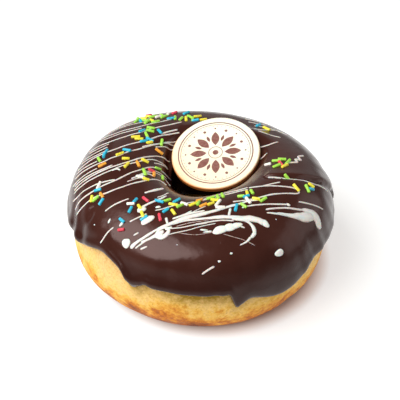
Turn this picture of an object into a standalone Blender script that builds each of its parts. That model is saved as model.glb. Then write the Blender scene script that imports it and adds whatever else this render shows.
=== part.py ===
"""A ring doughnut: raised dough, a dark chocolate coat with sprinkles and white drizzle set in it,
and a white chocolate disc bedded over the hole. The dough stands on z = 0, the ring's axis is +Z,
and -Y is the front. All sizes are in metres."""

import math
import random

import bmesh
import bpy
import numpy as np
from mathutils import Matrix, Vector
from mathutils.bvhtree import BVHTree

MM = 0.001
NUDGE = 1.0e-3                # small angle for slopes, in radians

# Dough ring: a rounded section swept round the hole, flattened a little where it stands
CREST_RADIUS = 27.5 * MM      # axis to the top of the ring
OUTER_HALF = 20.4 * MM        # crest to the outer waist
HOLE_RADIUS = 10.6 * MM
WAIST_HEIGHT = 26.5 * MM      # height of the widest line
TOP_RISE = 18.0 * MM          # waist to crest
BOTTOM_DROP = 27.2 * MM       # waist to the foot, before the foot is flattened
ROUND_TOP = 2.05              # exponents of the section: 2 is an ellipse, more is squarer
ROUND_BOTTOM = 2.45
ROUND_HOLE = 2.3
HOLE_SWELL = ((128, 48, 3.2 * MM), (-15, 42, 3.4 * MM))      # the hole is wider to the back left and right
HOLE_SLACK = ((30, 62, -0.6),)                               # (azimuth, half width in degrees, change)
CREST_SHIFT = ((0, 55, 2.2 * MM),)
OUTER_SWELL = ((1, 0.13 * MM, 0), (2, -0.46 * MM, 0), (2, -0.70 * MM, 45))   # (order, size, azimuth)
LOWER_FULLNESS = ((205, 34, 2.2 * MM), (25, 34, 1.0 * MM))   # (azimuth, half width in degrees, size)
FULLNESS_BLEND = (0.25, -0.45)  # sines of the turn between which that fullness comes in
TOP_SWELL = ((1, -1.6 * MM, 90), (2, 1.2 * MM, 0), (2, -1.0 * MM, 45))
RING_STEPS = (66, 24)         # faces round the ring, faces round a section
FOOT_TURN = (261.0, 279.0)    # degrees: the part of the section that stands on the plate
FOOT_SHARE = (255.0, 285.0)   # degrees of the torus section whose faces make the foot
LEVEL_LIMIT = 0.95            # sine of the steepest turn an edge level may reach

# Chocolate coat
GAP = 0.8 * MM                # dough to coat, so that their flat faces stay apart
COAT_TOP = 2.2 * MM           # outer face of the coat above the dough
COAT_EDGE_LEVEL = 25.4 * MM
# Where its lower edge runs down or stops short: (azimuth, half width in degrees, rise)
COAT_EDGE_RUNS = (
    (193, 13, -4.2 * MM), (225, 16, 6.0 * MM), (240, 6, -3.6 * MM), (262, 18, 1.8 * MM),
    (285, 5, -4.4 * MM), (304, 14, -5.6 * MM), (323, 6, 1.6 * MM), (12, 10, -3.4 * MM),
    (41, 13, 2.2 * MM), (69, 9, -4.8 * MM), (98, 12, 1.6 * MM), (127, 9, -3.8 * MM), (158, 14, 2.0 * MM))
COAT_EDGE_BLUNT = 0.35        # exponent that rounds the coat's edges: less is blunter
COAT_EVEN = 0.6               # share of its faces spread evenly, the others crowd to the edges
COAT_SHARP = 32.0             # degrees between faces from which a crease is kept
COAT_HOLE_LEVEL = 21.0 * MM
COAT_HOLE_RUNS = ((20, 30, -3.5 * MM), (150, 26, 2.5 * MM), (255, 30, -3.0 * MM))

# White chocolate disc, bedded into the coat before it set
DISC_RADIUS = 16.6 * MM
DISC_THICK = 2.4 * MM
DISC_ROUND = 0.6 * MM         # rounding of its edges
DISC_SIDES = 40
DISC_SHARP = 40.0             # degrees between faces from which a crease is kept
DISC_CENTRE = (5.6 * MM, 9.1 * MM, 44.6 * MM)    # middle of the top face
DISC_TILT = 16.0              # degrees down to the front
DISC_LEAN = 8.0               # degrees down to the left
DISC_SHORTER = 1.05           # how much shorter its tilted outline is in plan, front to back
BED_FROM = 28.0 * MM          # height from which the ring is moved
BED_FULL = 36.0 * MM
LIFT_FULL = 2.5 * MM          # a gap up to this is closed by lifting the ring
LIFT_NONE = 7.0 * MM
DISC_GAP = 0.45 * MM          # underside to coat
BED_FLAT = 1.4 * MM           # width of the flat bed past the disc
BED_MARGIN = 7.5 * MM         # how far past the disc the ring is moved

# White drizzle: plan points of each thick strand, with its half width
STRANDS = (
    ("streak", 1.15, ((-24, -38), (-18, -36.6), (-10.5, -34), (-5, -31.4), (1, -29.8), (9, -28),
                      (15, -26.4), (23, -25.2))),
    ("branch", 0.8, ((-20.6, -38), (-15.4, -37), (-12.4, -35.6))),
    ("second", 1.05, ((-10, -33.4), (-5, -32.2), (1, -31.8), (6, -31.4), (11, -31.3), (15, -31.6),
                      (22, -32.6))),
    ("hook", 0.75, ((14, -32.4), (17.3, -34.4), (18.2, -36.4), (16.6, -39.1))),
    ("side", 1.1, ((26, -27.8), (31, -26.6), (36.4, -24.4), (40, -22.4), (42, -22.2), (42.6, -24))),
    ("thread", 0.75, ((-22.1, -26.3), (-16.1, -22.3), (-12, -18.6))),
    ("lip", 0.8, ((-19.5, -18.2), (-15.9, -15.9), (-13.6, -13.6))),
)
STRAND_SINK = 0.06 * MM
STRAND_FLATNESS = 0.55        # height of a strand as a share of its width
STRAND_TAPER = 0.6            # width at its ends as a share of the middle
WELD = 0.01 * MM
POOL_HEIGHT = 0.8 * MM        # half height of a pool
POOL_SINK = 0.15 * MM
POOL_FACES = (9, 6)
POOLS = (                     # (x, y, half length, half width, turn in degrees)
    (9.2, -35.5, 4.6, 2.1, 8), (-25.2, -37, 1.4, 1.9, 60), (-18.4, -31, 2.1, 1.4, 40),
    (-13.4, -36, 1.9, 1.6, 30), (27.2, -38.9, 1.7, 1.5, 0), (21.8, -32.6, 2.0, 1.3, -20),
    (-20.6, -26, 1.6, 1.2, 30), (36, -25.6, 2.2, 1.5, -25))

# Sugar sprinkles: patches in plan as (x, y, half size along x, along y, how many)
SPRINKLE_RADIUS = 0.62 * MM
SPRINKLE_LENGTH = (2.8 * MM, 4.0 * MM)
SPRINKLE_SINK = 0.34          # share of the radius below the coat
SPRINKLE_SIDES = 6
SPRINKLE_APART = 1.7 * MM     # least distance between two middles
SPRINKLE_FROM_HOLE = 3.0 * MM
SPRINKLE_FROM_RIM = 4.0 * MM
SPRINKLE_FROM_DISC = 2.6 * MM
SPRINKLE_PATCHES = (
    (-13, 32, 15, 6, 26), (-17.5, 16, 7, 7, 12), (-30, 3, 8, 7, 8), (-19.5, -4, 6, 6, 9),
    (-35, -15, 5, 4, 6), (-15, -24.5, 10, 6, 16), (10, -23, 13, 4.5, 20), (28, -2, 4, 4, 7),
    (35.5, -13, 6, 4, 5), (-27, -31, 2, 4, 2), (24, 26, 4, 4, 2))
SPRINKLE_SEED = 12


def new_material(name, colour, roughness):
    """A Principled material in one colour."""
    material = bpy.data.materials.new(name)
    material.use_nodes = True
    shader = material.node_tree.nodes["Principled BSDF"]
    shader.inputs["Base Color"].default_value = (*colour, 1.0)
    shader.inputs["Roughness"].default_value = roughness
    shader.inputs["Metallic"].default_value = 0.0
    return material


def new_object(name, bm, collection, material=None):
    """Turn a bmesh into an object of its own."""
    mesh = bpy.data.meshes.new(name)
    bm.to_mesh(mesh)
    bm.free()
    obj = bpy.data.objects.new(name, mesh)
    collection.objects.link(obj)
    if material:
        mesh.materials.append(material)
        mesh.shade_smooth()
    return obj


def signed_power(value, exponent):
    return np.sign(value) * np.abs(value) ** exponent


def swell(azimuth, terms):
    """Sum of slow waves round the ring."""
    return sum(size * np.cos(order * (azimuth - math.radians(at))) for order, size, at in terms)


def bumps(azimuth, terms):
    """Sum of single smooth bumps round the ring, each given as (azimuth, half width, size)."""
    total = 0.0
    for at, width, size in terms:
        away = (np.degrees(azimuth) - at + 180.0) % 360.0 - 180.0
        total = total + size * np.exp(-(away / width) ** 2)
    return total


def smooth_step(low, high, value):
    share = np.clip((value - low) / (high - low), 0.0, 1.0)
    return share * share * (3.0 - 2.0 * share)


def disc_frame():
    """The disc's matrix: its top face is the local plane z = 0."""
    tilt = Matrix.Rotation(math.radians(DISC_TILT), 4, "X")
    lean = Matrix.Rotation(-math.radians(DISC_LEAN), 4, "Y")
    return Matrix.Translation(DISC_CENTRE) @ tilt @ lean


def section(azimuth, turn):
    """Radius and height on the plain ring. Turn is 0 at the outer waist, 90 degrees at the crest
    and 180 degrees at the hole's waist."""
    across, up = np.cos(turn), np.sin(turn)
    hole_power = ROUND_HOLE + bumps(azimuth, HOLE_SLACK)
    power = np.where(across < 0.0, hole_power, np.where(up > 0.0, ROUND_TOP, ROUND_BOTTOM))
    hole = HOLE_RADIUS + bumps(azimuth, HOLE_SWELL)
    crest = CREST_RADIUS + bumps(azimuth, CREST_SHIFT)
    low = smooth_step(*FULLNESS_BLEND, up)
    outer = OUTER_HALF + swell(azimuth, OUTER_SWELL) + low * bumps(azimuth, LOWER_FULLNESS)
    half = np.where(across > 0.0, CREST_RADIUS + outer - crest, crest - hole)
    rise = np.where(up > 0.0, TOP_RISE + swell(azimuth, TOP_SWELL), BOTTOM_DROP)
    radius = crest + half * signed_power(across, 2.0 / power)
    return radius, WAIST_HEIGHT + rise * signed_power(up, 2.0 / power)


def offset_section(azimuth, turn, off):
    """The section moved out along its own normal."""
    radius, height = section(azimuth, turn)
    ahead, behind = section(azimuth, turn + NUDGE), section(azimuth, turn - NUDGE)
    along_r, along_z = ahead[0] - behind[0], ahead[1] - behind[1]
    size = np.hypot(along_r, along_z)
    return radius + off * along_z / size, height - off * along_r / size


def bedding(azimuth, turn):
    """How far the ring is pressed or pushed up at this spot to carry the disc."""
    radius, height = offset_section(azimuth, turn, COAT_TOP)
    normal = disc_frame().to_3x3() @ Vector((0.0, 0.0, 1.0))
    east, north = radius * np.cos(azimuth) - DISC_CENTRE[0], radius * np.sin(azimuth) - DISC_CENTRE[1]
    under = DISC_CENTRE[2] - (normal.x * east + normal.y * north + DISC_THICK + DISC_GAP) / normal.z
    short = under - height
    away = np.hypot(east, north * DISC_SHORTER)
    reach = 1.0 - smooth_step(DISC_RADIUS + BED_FLAT, DISC_RADIUS + BED_MARGIN, away)
    share = reach * smooth_step(BED_FROM, BED_FULL, height)
    return share * short * (1.0 - smooth_step(LIFT_FULL, LIFT_NONE, short))


def ring_point(azimuth, turn, off=0.0):
    """A point on the dough, or off it along the section's normal."""
    radius, height = offset_section(azimuth, turn, off)
    height = height + bedding(azimuth, turn)
    return np.stack([radius * np.cos(azimuth), radius * np.sin(azimuth), np.maximum(height, 0.0)], axis=-1)


def turn_at_level(level):
    """The outer turn at which the section passes a height."""
    above = (level - WAIST_HEIGHT) / np.where(level > WAIST_HEIGHT, TOP_RISE, BOTTOM_DROP)
    power = np.where(level > WAIST_HEIGHT, ROUND_TOP, ROUND_BOTTOM)
    return np.arcsin(np.clip(signed_power(above, power / 2.0), -LEVEL_LIMIT, LEVEL_LIMIT))


def bent_torus(place):
    """A torus primitive whose points are moved by place(azimuth, section share)."""
    bpy.ops.mesh.primitive_torus_add(major_segments=RING_STEPS[0], minor_segments=RING_STEPS[1],
                                     major_radius=1.0, minor_radius=0.4)
    torus = bpy.context.object
    bm = bmesh.new()
    bm.from_mesh(torus.data)
    bpy.data.objects.remove(torus)
    bm.verts.ensure_lookup_table()
    at = np.array([v.co[:] for v in bm.verts])
    azimuth = np.arctan2(at[:, 1], at[:, 0])
    share = np.arctan2(at[:, 2], np.hypot(at[:, 0], at[:, 1]) - 1.0) % (2.0 * math.pi)
    for vertex, point in zip(bm.verts, place(azimuth, share)):
        vertex.co = point
    return bm


def coated_turn(azimuth, share):
    """Turn over the coated part: half a round of the section runs from the coat's lower edge over
    the crest to its edge in the hole. Also gives both edges."""
    start = turn_at_level(COAT_EDGE_LEVEL + bumps(azimuth, COAT_EDGE_RUNS))
    hole = math.pi - turn_at_level(COAT_HOLE_LEVEL + bumps(azimuth, COAT_HOLE_RUNS))
    half = np.where(share < math.pi, share, 2.0 * math.pi - share)
    along = COAT_EVEN * half / math.pi + (1.0 - COAT_EVEN) * (1.0 - np.cos(half)) / 2.0
    return start + (hole - start) * along, start, hole


def dough_place(azimuth, share):
    """First half as under the coat, so that their faces run side by side, then down the hole,
    across the foot and up the outside."""
    turn, start, hole = coated_turn(azimuth, share)
    inner, outer = math.radians(FOOT_TURN[0]), math.radians(FOOT_TURN[1])
    inner_share, outer_share = math.radians(FOOT_SHARE[0]), math.radians(FOOT_SHARE[1])
    down = hole + (inner - hole) * (share - math.pi) / (inner_share - math.pi)
    foot = inner + (outer - inner) * (share - inner_share) / (outer_share - inner_share)
    up = outer + (start + 2.0 * math.pi - outer) * (share - outer_share) / (2.0 * math.pi - outer_share)
    bare = np.where(share < inner_share, down, np.where(share < outer_share, foot, up))
    return ring_point(azimuth, np.where(share <= math.pi, turn, bare))


def coat_place(azimuth, share):
    """First half turn: the coat's outer face. Second half: back along the dough. Both edges are
    rounded."""
    turn, _, _ = coated_turn(azimuth, share)
    middle, depth = (COAT_TOP + GAP) / 2.0, (COAT_TOP - GAP) / 2.0
    return ring_point(azimuth, turn, middle + depth * signed_power(np.sin(share), COAT_EDGE_BLUNT))


def clear_of_disc(x, y, margin):
    return math.hypot(x - DISC_CENTRE[0], (y - DISC_CENTRE[1]) * DISC_SHORTER) > DISC_RADIUS + margin


def drop(tree, x, y):
    """Where a straight fall from above meets the coat, and the coat's normal there."""
    place, normal, _, _ = tree.ray_cast(Vector((x, y, 1.0)), Vector((0.0, 0.0, -1.0)))
    return place, normal


def add_strand(tree, name, half_width, plan, collection):
    """A drizzle strand: a tapered poly curve laid on the coat, sunk so that it shows as a low ridge."""
    knots = np.array(plan, dtype=float) * MM
    steps = np.linspace(0.0, len(knots) - 1.0, 2 * len(knots) - 1)
    plan = np.stack([np.interp(steps, range(len(knots)), knots[:, k]) for k in (0, 1)], axis=-1)
    plan[1:-1] = (plan[:-2] + 2.0 * plan[1:-1] + plan[2:]) / 4.0
    points, normals = [], []
    for x, y in plan:
        place, normal = drop(tree, x, y)
        points.append(place - normal * STRAND_SINK)
        normals.append(normal)
    curve = bpy.data.curves.new(name, "CURVE")
    curve.dimensions = "3D"
    curve.bevel_depth = half_width * MM
    curve.bevel_resolution = 1
    curve.use_fill_caps = True
    spline = curve.splines.new("POLY")
    spline.points.add(len(points) - 1)
    for i, point in enumerate(points):
        spline.points[i].co = (*point, 1.0)
        fullness = math.sin(math.pi * i / (len(points) - 1))
        spline.points[i].radius = STRAND_TAPER + (1.0 - STRAND_TAPER) * fullness
    holder = bpy.data.objects.new(name + "_curve", curve)
    collection.objects.link(holder)
    bpy.context.view_layer.update()
    solid = holder.evaluated_get(bpy.context.evaluated_depsgraph_get())
    mesh = bpy.data.meshes.new_from_object(solid)
    bm = bmesh.new()
    bm.from_mesh(mesh)
    bmesh.ops.remove_doubles(bm, verts=bm.verts, dist=WELD)
    for vertex in bm.verts:
        near = min(range(len(points)), key=lambda i: (vertex.co - points[i]).length)
        height = (vertex.co - points[near]).dot(normals[near])
        vertex.co -= normals[near] * height * (1.0 - STRAND_FLATNESS)
    bpy.data.meshes.remove(mesh)
    bpy.data.objects.remove(holder)
    return new_object(name, bm, collection)


def surface_matrix(tree, x, y, off, heading):
    """Frame on the coat: Z along the coat's normal, X turned in plan by heading."""
    place, normal = drop(tree, x, y)
    forward = Vector((math.cos(heading), math.sin(heading), 0.0))
    forward = (forward - normal * forward.dot(normal)).normalized()
    turned = Matrix((forward, normal.cross(forward), normal)).transposed().to_4x4()
    return Matrix.Translation(place + normal * off) @ turned


def add_pool(tree, name, x, y, length, width, heading, collection):
    """A blob of drizzle: a squashed ball, half sunk."""
    bm = bmesh.new()
    bmesh.ops.create_uvsphere(bm, u_segments=POOL_FACES[0], v_segments=POOL_FACES[1], radius=1.0)
    size = Matrix.Diagonal((length * MM, width * MM, POOL_HEIGHT, 1.0))
    place = surface_matrix(tree, x * MM, y * MM, -POOL_SINK, math.radians(heading))
    bmesh.ops.transform(bm, matrix=place @ size, verts=bm.verts)
    return new_object(name, bm, collection)


def sprinkle_places():
    """Seeded scatter over the patches, clear of the disc and of the hole: (x, y, heading, length)."""
    draw = random.Random(SPRINKLE_SEED)
    places = []
    least, most = HOLE_RADIUS + SPRINKLE_FROM_HOLE, CREST_RADIUS + OUTER_HALF - SPRINKLE_FROM_RIM
    for x, y, half_x, half_y, count in SPRINKLE_PATCHES:
        placed = 0
        while placed < count:
            share, around = math.sqrt(draw.random()), draw.uniform(0.0, 2.0 * math.pi)
            east, north = half_x * share * math.cos(around), half_y * share * math.sin(around)
            at = ((x + east) * MM, (y + north) * MM)
            heading, length = draw.uniform(0.0, math.pi), draw.uniform(*SPRINKLE_LENGTH)
            radius = math.hypot(*at)
            inside = least < radius < most
            apart = all(math.hypot(at[0] - other[0], at[1] - other[1]) > SPRINKLE_APART for other in places)
            if inside and apart and clear_of_disc(*at, SPRINKLE_FROM_DISC):
                places.append((*at, heading, length))
                placed += 1
    return places


def add_sprinkle(tree, name, x, y, heading, length, collection):
    """A rod of pressed sugar with six sides, lying in the coat."""
    bm = bmesh.new()
    bmesh.ops.create_cone(bm, cap_ends=True, segments=SPRINKLE_SIDES, radius1=SPRINKLE_RADIUS,
                          radius2=SPRINKLE_RADIUS, depth=length)
    place = surface_matrix(tree, x, y, (1.0 - 2.0 * SPRINKLE_SINK) * SPRINKLE_RADIUS, heading)
    bmesh.ops.transform(bm, matrix=place @ Matrix.Rotation(math.pi / 2.0, 4, "Y"), verts=bm.verts)
    return new_object(name, bm, collection)


def make_dough(collection):
    bm = bent_torus(dough_place)
    return new_object("dough", bm, collection, new_material("fried_dough", (0.85, 0.55, 0.19), 0.55))


def make_coat(collection, toppings):
    """The coat with its sprinkles and thick drizzle fused on."""
    bm = bent_torus(coat_place)
    tree = BVHTree.FromBMesh(bm)
    chocolate = new_material("dark_chocolate", (0.05, 0.02, 0.017), 0.3)
    coat = new_object("chocolate_coat", bm, collection, chocolate)
    for name, half_width, plan in STRANDS:
        add_strand(tree, "drizzle_" + name, half_width, plan, toppings)
    for i, (x, y, length, width, heading) in enumerate(POOLS):
        add_pool(tree, f"pool_{i}", x, y, length, width, heading, toppings)
    for i, place in enumerate(sprinkle_places()):
        add_sprinkle(tree, f"sprinkle_{i}", *place, toppings)
    union = coat.modifiers.new("toppings", "BOOLEAN")
    union.operation = "UNION"
    union.operand_type = "COLLECTION"
    union.collection = toppings
    union.solver = "MANIFOLD"
    bpy.context.view_layer.objects.active = coat
    bpy.ops.object.modifier_apply(modifier=union.name)
    for obj in list(toppings.objects):
        bpy.data.objects.remove(obj)
    coat.data.set_sharp_from_angle(angle=math.radians(COAT_SHARP))
    return coat


def make_disc(collection):
    """A poured disc with rounded edges."""
    bm = bmesh.new()
    bmesh.ops.create_cone(bm, cap_ends=True, segments=DISC_SIDES, radius1=DISC_RADIUS, radius2=DISC_RADIUS,
                          depth=DISC_THICK)
    rims = [edge for edge in bm.edges if abs(edge.verts[0].co.z - edge.verts[1].co.z) < WELD]
    bmesh.ops.bevel(bm, geom=rims, offset=DISC_ROUND, segments=2, profile=0.5, affect="EDGES",
                    material=-1)
    bmesh.ops.translate(bm, vec=(0.0, 0.0, -DISC_THICK / 2.0), verts=bm.verts)
    white = new_material("white_chocolate", (0.93, 0.88, 0.7), 0.4)
    disc = new_object("white_chocolate_disc", bm, collection, white)
    disc.data.set_sharp_from_angle(angle=math.radians(DISC_SHARP))
    disc.matrix_world = disc_frame()
    return disc


for obj in list(bpy.data.objects):
    bpy.data.objects.remove(obj)

doughnut = bpy.data.collections.new("doughnut")
cutters = bpy.data.collections.new("toppings_to_fuse")
bpy.context.scene.collection.children.link(doughnut)
bpy.context.scene.collection.children.link(cutters)

make_dough(doughnut)
make_coat(doughnut, cutters)
make_disc(doughnut)
bpy.data.collections.remove(cutters)
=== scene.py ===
"""A ring doughnut: raised fried dough, a dark chocolate coat, white chocolate drizzle, sugar sprinkles
and a round white chocolate disc over the hole. Metres, +Z up, -Y is the front."""

import math
import random

import bmesh
import bpy
import numpy as np
from mathutils import Matrix, Vector
from mathutils.bvhtree import BVHTree


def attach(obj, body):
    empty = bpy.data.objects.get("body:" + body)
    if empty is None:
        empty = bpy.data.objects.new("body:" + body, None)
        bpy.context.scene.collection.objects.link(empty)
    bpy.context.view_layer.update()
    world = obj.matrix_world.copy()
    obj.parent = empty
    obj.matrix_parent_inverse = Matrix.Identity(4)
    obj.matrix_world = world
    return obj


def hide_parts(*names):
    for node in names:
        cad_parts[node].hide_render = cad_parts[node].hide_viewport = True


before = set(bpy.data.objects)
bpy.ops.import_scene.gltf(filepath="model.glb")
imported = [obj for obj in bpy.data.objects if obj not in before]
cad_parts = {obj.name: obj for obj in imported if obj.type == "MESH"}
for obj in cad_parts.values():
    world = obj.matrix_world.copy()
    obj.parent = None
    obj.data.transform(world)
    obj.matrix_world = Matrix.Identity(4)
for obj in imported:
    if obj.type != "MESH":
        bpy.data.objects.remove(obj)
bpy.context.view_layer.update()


# Dough ring
# Soft yeast dough, proved and fried on one side after the other: the fat browned it from below, and
# the part that floated clear of the fat stayed pale yellow. It stands on a flat browned foot, whose
# colour is also painted darker as shade.

MM = 0.001
NUDGE = 1.0e-3                # small angle for slopes, in radians
CREST_RADIUS = 27.5 * MM      # axis to the top of the ring
OUTER_HALF = 20.4 * MM        # crest to the outer waist
HOLE_RADIUS = 10.6 * MM
WAIST_HEIGHT = 26.5 * MM      # height of the widest line
TOP_RISE = 18.0 * MM          # waist to crest
BOTTOM_DROP = 27.2 * MM       # waist to the foot
ROUND_TOP, ROUND_BOTTOM, ROUND_HOLE = 2.05, 2.45, 2.3    # 2 is an ellipse, more is squarer
# OUTER_SWELL, TOP_SWELL and the lumps hold (order, size, azimuth), the other changes round the ring
# (azimuth, half width in degrees, size).
HOLE_SWELL = ((128, 48, 3.2 * MM), (-15, 42, 3.4 * MM))
HOLE_SLACK = ((30, 62, -0.6),)  # where the hole's side is less square
CREST_SHIFT = ((0, 55, 2.2 * MM),)
OUTER_SWELL = ((1, 0.13 * MM, 0), (2, -0.46 * MM, 0), (2, -0.70 * MM, 45))
LOWER_FULLNESS = ((205, 34, 2.2 * MM), (25, 34, 1.0 * MM))
FULLNESS_BLEND = (0.25, -0.45)      # sines of the turn between which that fullness comes in
TOP_SWELL = ((1, -1.6 * MM, 90), (2, 1.2 * MM, 0), (2, -1.0 * MM, 45))
DOUGH_STEPS = (80, 22)        # faces round the ring and round a section, before the cuts
RING_CUTS = 3
DOUGH_LUMPS = ((5, 0.16 * MM, 20), (9, 0.12 * MM, 75), (14, 0.08 * MM, 10), (23, 0.05 * MM, 50))
LUMPS_ROUND, LUMPS_WANDER = 2.0, 3.0     # how often they change round a section, and drift round the ring

DISC_RADIUS = 16.6 * MM
DISC_THICK = 2.4 * MM
DISC_CENTRE = (5.6 * MM, 9.1 * MM, 44.6 * MM)    # middle of the top face
DISC_TILT, DISC_LEAN = 16.0, 8.0                 # degrees down to the front, and to the left
DISC_SHORTER = 1.05           # how much shorter its tilted outline is in plan, front to back
DISC_SINK = 0.05 * MM         # how far its back dips into the coat
COAT_TOP = 2.2 * MM           # outer face of the coat above the dough
COAT_EDGE_LEVEL = 25.4 * MM
COAT_EDGE_RUNS = (            # where the coat's lower edge stops short or runs down
    (193, 13, -4.2 * MM), (225, 16, 6.0 * MM), (240, 6, -3.6 * MM), (262, 18, 1.8 * MM),
    (285, 5, -4.4 * MM), (304, 14, -5.6 * MM), (323, 6, 1.6 * MM), (12, 10, -3.4 * MM),
    (41, 13, 2.2 * MM), (69, 9, -4.8 * MM), (98, 12, 1.6 * MM), (127, 9, -3.8 * MM), (158, 14, 2.0 * MM),
    (240.5, 2.2, -0.7 * MM), (246.5, 2.4, 1.3 * MM), (284.6, 1.0, -1.0 * MM), (281.4, 1.6, 3.0 * MM),
    (277.5, 3.0, 0.9 * MM), (289, 3, 0.8 * MM), (331, 1.2, 1.0 * MM), (236, 4, 1.5 * MM), (197, 9, 3.6 * MM),
    (318, 6, -1.1 * MM), (262, 8, -0.6 * MM))
BED_FROM, BED_FULL = 28.0 * MM, 36.0 * MM        # heights between which the ring gives way to the disc
LIFT_FULL, LIFT_NONE = 2.0 * MM, 6.0 * MM        # gaps under the disc that close, and that stay open
BED_OPEN = ((196, 34, 0.85),)  # where most of the gap stays open
BED_FLAT = 0.6 * MM           # width of the flat bed past the disc
BED_MARGIN, BED_PRESSED = 8.5 * MM, 2.6 * MM     # how far past it the ring is lifted, and pressed down
MOIST_SHADE_REACH = 4.5 * MM        # how far down from the coat's edge the dough is moist and painted shaded
MOIST_SHADE_PLACES = ((268, 17, 1.0), (243, 6, 0.55), (226, 10, 0.3), (300, 9, 0.25), (20, 25, 0.5), (110, 30, 0.6))


def signed_power(value, exponent):
    return np.sign(value) * np.abs(value) ** exponent


def swell(azimuth, terms):
    """Sum of slow waves round the ring: (order, size, azimuth of the crest)."""
    return sum(size * np.cos(order * (azimuth - math.radians(at))) for order, size, at in terms)


def bumps(azimuth, terms):
    """Sum of single smooth bumps round the ring: (azimuth, half width in degrees, size)."""
    total = 0.0
    for at, width, size in terms:
        away = (np.degrees(azimuth) - at + 180.0) % 360.0 - 180.0
        total = total + size * np.exp(-(away / width) ** 2)
    return total


def smooth_step(low, high, value):
    share = np.clip((value - low) / (high - low), 0.0, 1.0)
    return share * share * (3.0 - 2.0 * share)


def disc_frame():
    """The disc's place: its top face is the local plane z = 0."""
    tilt = Matrix.Rotation(math.radians(DISC_TILT), 4, "X")
    lean = Matrix.Rotation(-math.radians(DISC_LEAN), 4, "Y")
    return Matrix.Translation(DISC_CENTRE) @ tilt @ lean


def section(azimuth, turn):
    """Radius and height on the ring. Turn is 0 at the outer waist and a quarter at the crest."""
    across, up = np.cos(turn), np.sin(turn)
    hole_power = ROUND_HOLE + bumps(azimuth, HOLE_SLACK)
    power = np.where(across < 0.0, hole_power, np.where(up > 0.0, ROUND_TOP, ROUND_BOTTOM))
    hole = HOLE_RADIUS + bumps(azimuth, HOLE_SWELL)
    crest = CREST_RADIUS + bumps(azimuth, CREST_SHIFT)
    low = smooth_step(*FULLNESS_BLEND, up)
    outer = OUTER_HALF + swell(azimuth, OUTER_SWELL) + low * bumps(azimuth, LOWER_FULLNESS)
    half = np.where(across > 0.0, CREST_RADIUS + outer - crest, crest - hole)
    rise = np.where(up > 0.0, TOP_RISE + swell(azimuth, TOP_SWELL), BOTTOM_DROP)
    radius = crest + half * signed_power(across, 2.0 / power)
    return radius, WAIST_HEIGHT + rise * signed_power(up, 2.0 / power)


def offset_section(azimuth, turn, off):
    """The section moved out along its own normal."""
    radius, height = section(azimuth, turn)
    ahead, behind = section(azimuth, turn + NUDGE), section(azimuth, turn - NUDGE)
    along_r, along_z = ahead[0] - behind[0], ahead[1] - behind[1]
    size = np.hypot(along_r, along_z)
    return radius + off * along_z / size, height - off * along_r / size


def bedding(azimuth, turn):
    """How far the ring is pressed or pushed up to carry the disc."""
    radius, height = offset_section(azimuth, turn, COAT_TOP)
    normal = disc_frame().to_3x3() @ Vector((0.0, 0.0, 1.0))
    east, north = radius * np.cos(azimuth) - DISC_CENTRE[0], radius * np.sin(azimuth) - DISC_CENTRE[1]
    drop_to_face = (normal.x * east + normal.y * north + DISC_THICK - DISC_SINK) / normal.z
    short = DISC_CENTRE[2] - drop_to_face - height
    away = np.hypot(east, north * DISC_SHORTER)
    margin = np.where(short > 0.0, BED_MARGIN, BED_PRESSED)
    reach = 1.0 - smooth_step(DISC_RADIUS + BED_FLAT, DISC_RADIUS + margin, away)
    share = reach * smooth_step(BED_FROM, BED_FULL, height) * (1.0 - bumps(azimuth, BED_OPEN))
    return share * short * (1.0 - smooth_step(LIFT_FULL, LIFT_NONE, short))


def ring_point(azimuth, turn, off):
    """A point on the dough, or off it along the section's normal."""
    radius, height = offset_section(azimuth, turn, off)
    height = height + bedding(azimuth, turn)
    return np.stack([radius * np.cos(azimuth), radius * np.sin(azimuth), np.maximum(height, 0.0)], axis=-1)


def ring_bmesh(steps, place):
    """A circle spun into a ring of radius 1, whose points go where place(azimuth, section share) says."""
    bm = bmesh.new()
    bmesh.ops.create_circle(bm, segments=steps[1], radius=0.4)
    stand = Matrix.Translation((1.0, 0.0, 0.0)) @ Matrix.Rotation(math.pi / 2.0, 4, "X")
    bmesh.ops.transform(bm, matrix=stand, verts=bm.verts)
    bmesh.ops.spin(bm, geom=bm.verts[:] + bm.edges[:], cent=(0.0, 0.0, 0.0), axis=(0.0, 0.0, 1.0),
                   angle=2.0 * math.pi, steps=steps[0], use_merge=True)
    bmesh.ops.subdivide_edges(bm, edges=bm.edges[:], cuts=RING_CUTS, use_grid_fill=True)
    at = np.array([vertex.co[:] for vertex in bm.verts])
    azimuth = np.arctan2(at[:, 1], at[:, 0])
    share = np.arctan2(at[:, 2], np.hypot(at[:, 0], at[:, 1]) - 1.0) % (2.0 * math.pi)
    for vertex, point in zip(bm.verts, place(azimuth, share)):
        vertex.co = point
    bmesh.ops.recalc_face_normals(bm, faces=bm.faces)
    return bm


def finish_piece(name, bm, material, stands_for=()):
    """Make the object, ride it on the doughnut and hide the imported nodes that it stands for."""
    mesh = bpy.data.meshes.new(name)
    bm.to_mesh(mesh)
    bm.free()
    mesh.materials.append(material)
    mesh.shade_smooth()
    piece = bpy.data.objects.new(name, mesh)
    bpy.context.scene.collection.objects.link(piece)
    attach(piece, "root")
    if stands_for:
        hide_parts(*stands_for)
    return piece


def linear(code):
    """An sRGB hex colour as linear RGBA."""
    parts = [int(code[i:i + 2], 16) / 255.0 for i in (1, 3, 5)]
    return (*[p / 12.92 if p <= 0.04045 else ((p + 0.055) / 1.055) ** 2.4 for p in parts], 1.0)


def fill(tree, node, sockets):
    """Give a node's sockets their values or links, by name or number. A whole node is linked by its
    first output in use."""
    for key, value in sockets.items():
        if isinstance(value, bpy.types.Node):
            value = next(out for out in value.outputs if out.enabled)
        if isinstance(value, bpy.types.NodeSocket):
            tree.links.new(value, node.inputs[key])
        else:
            node.inputs[key].default_value = value


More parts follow.
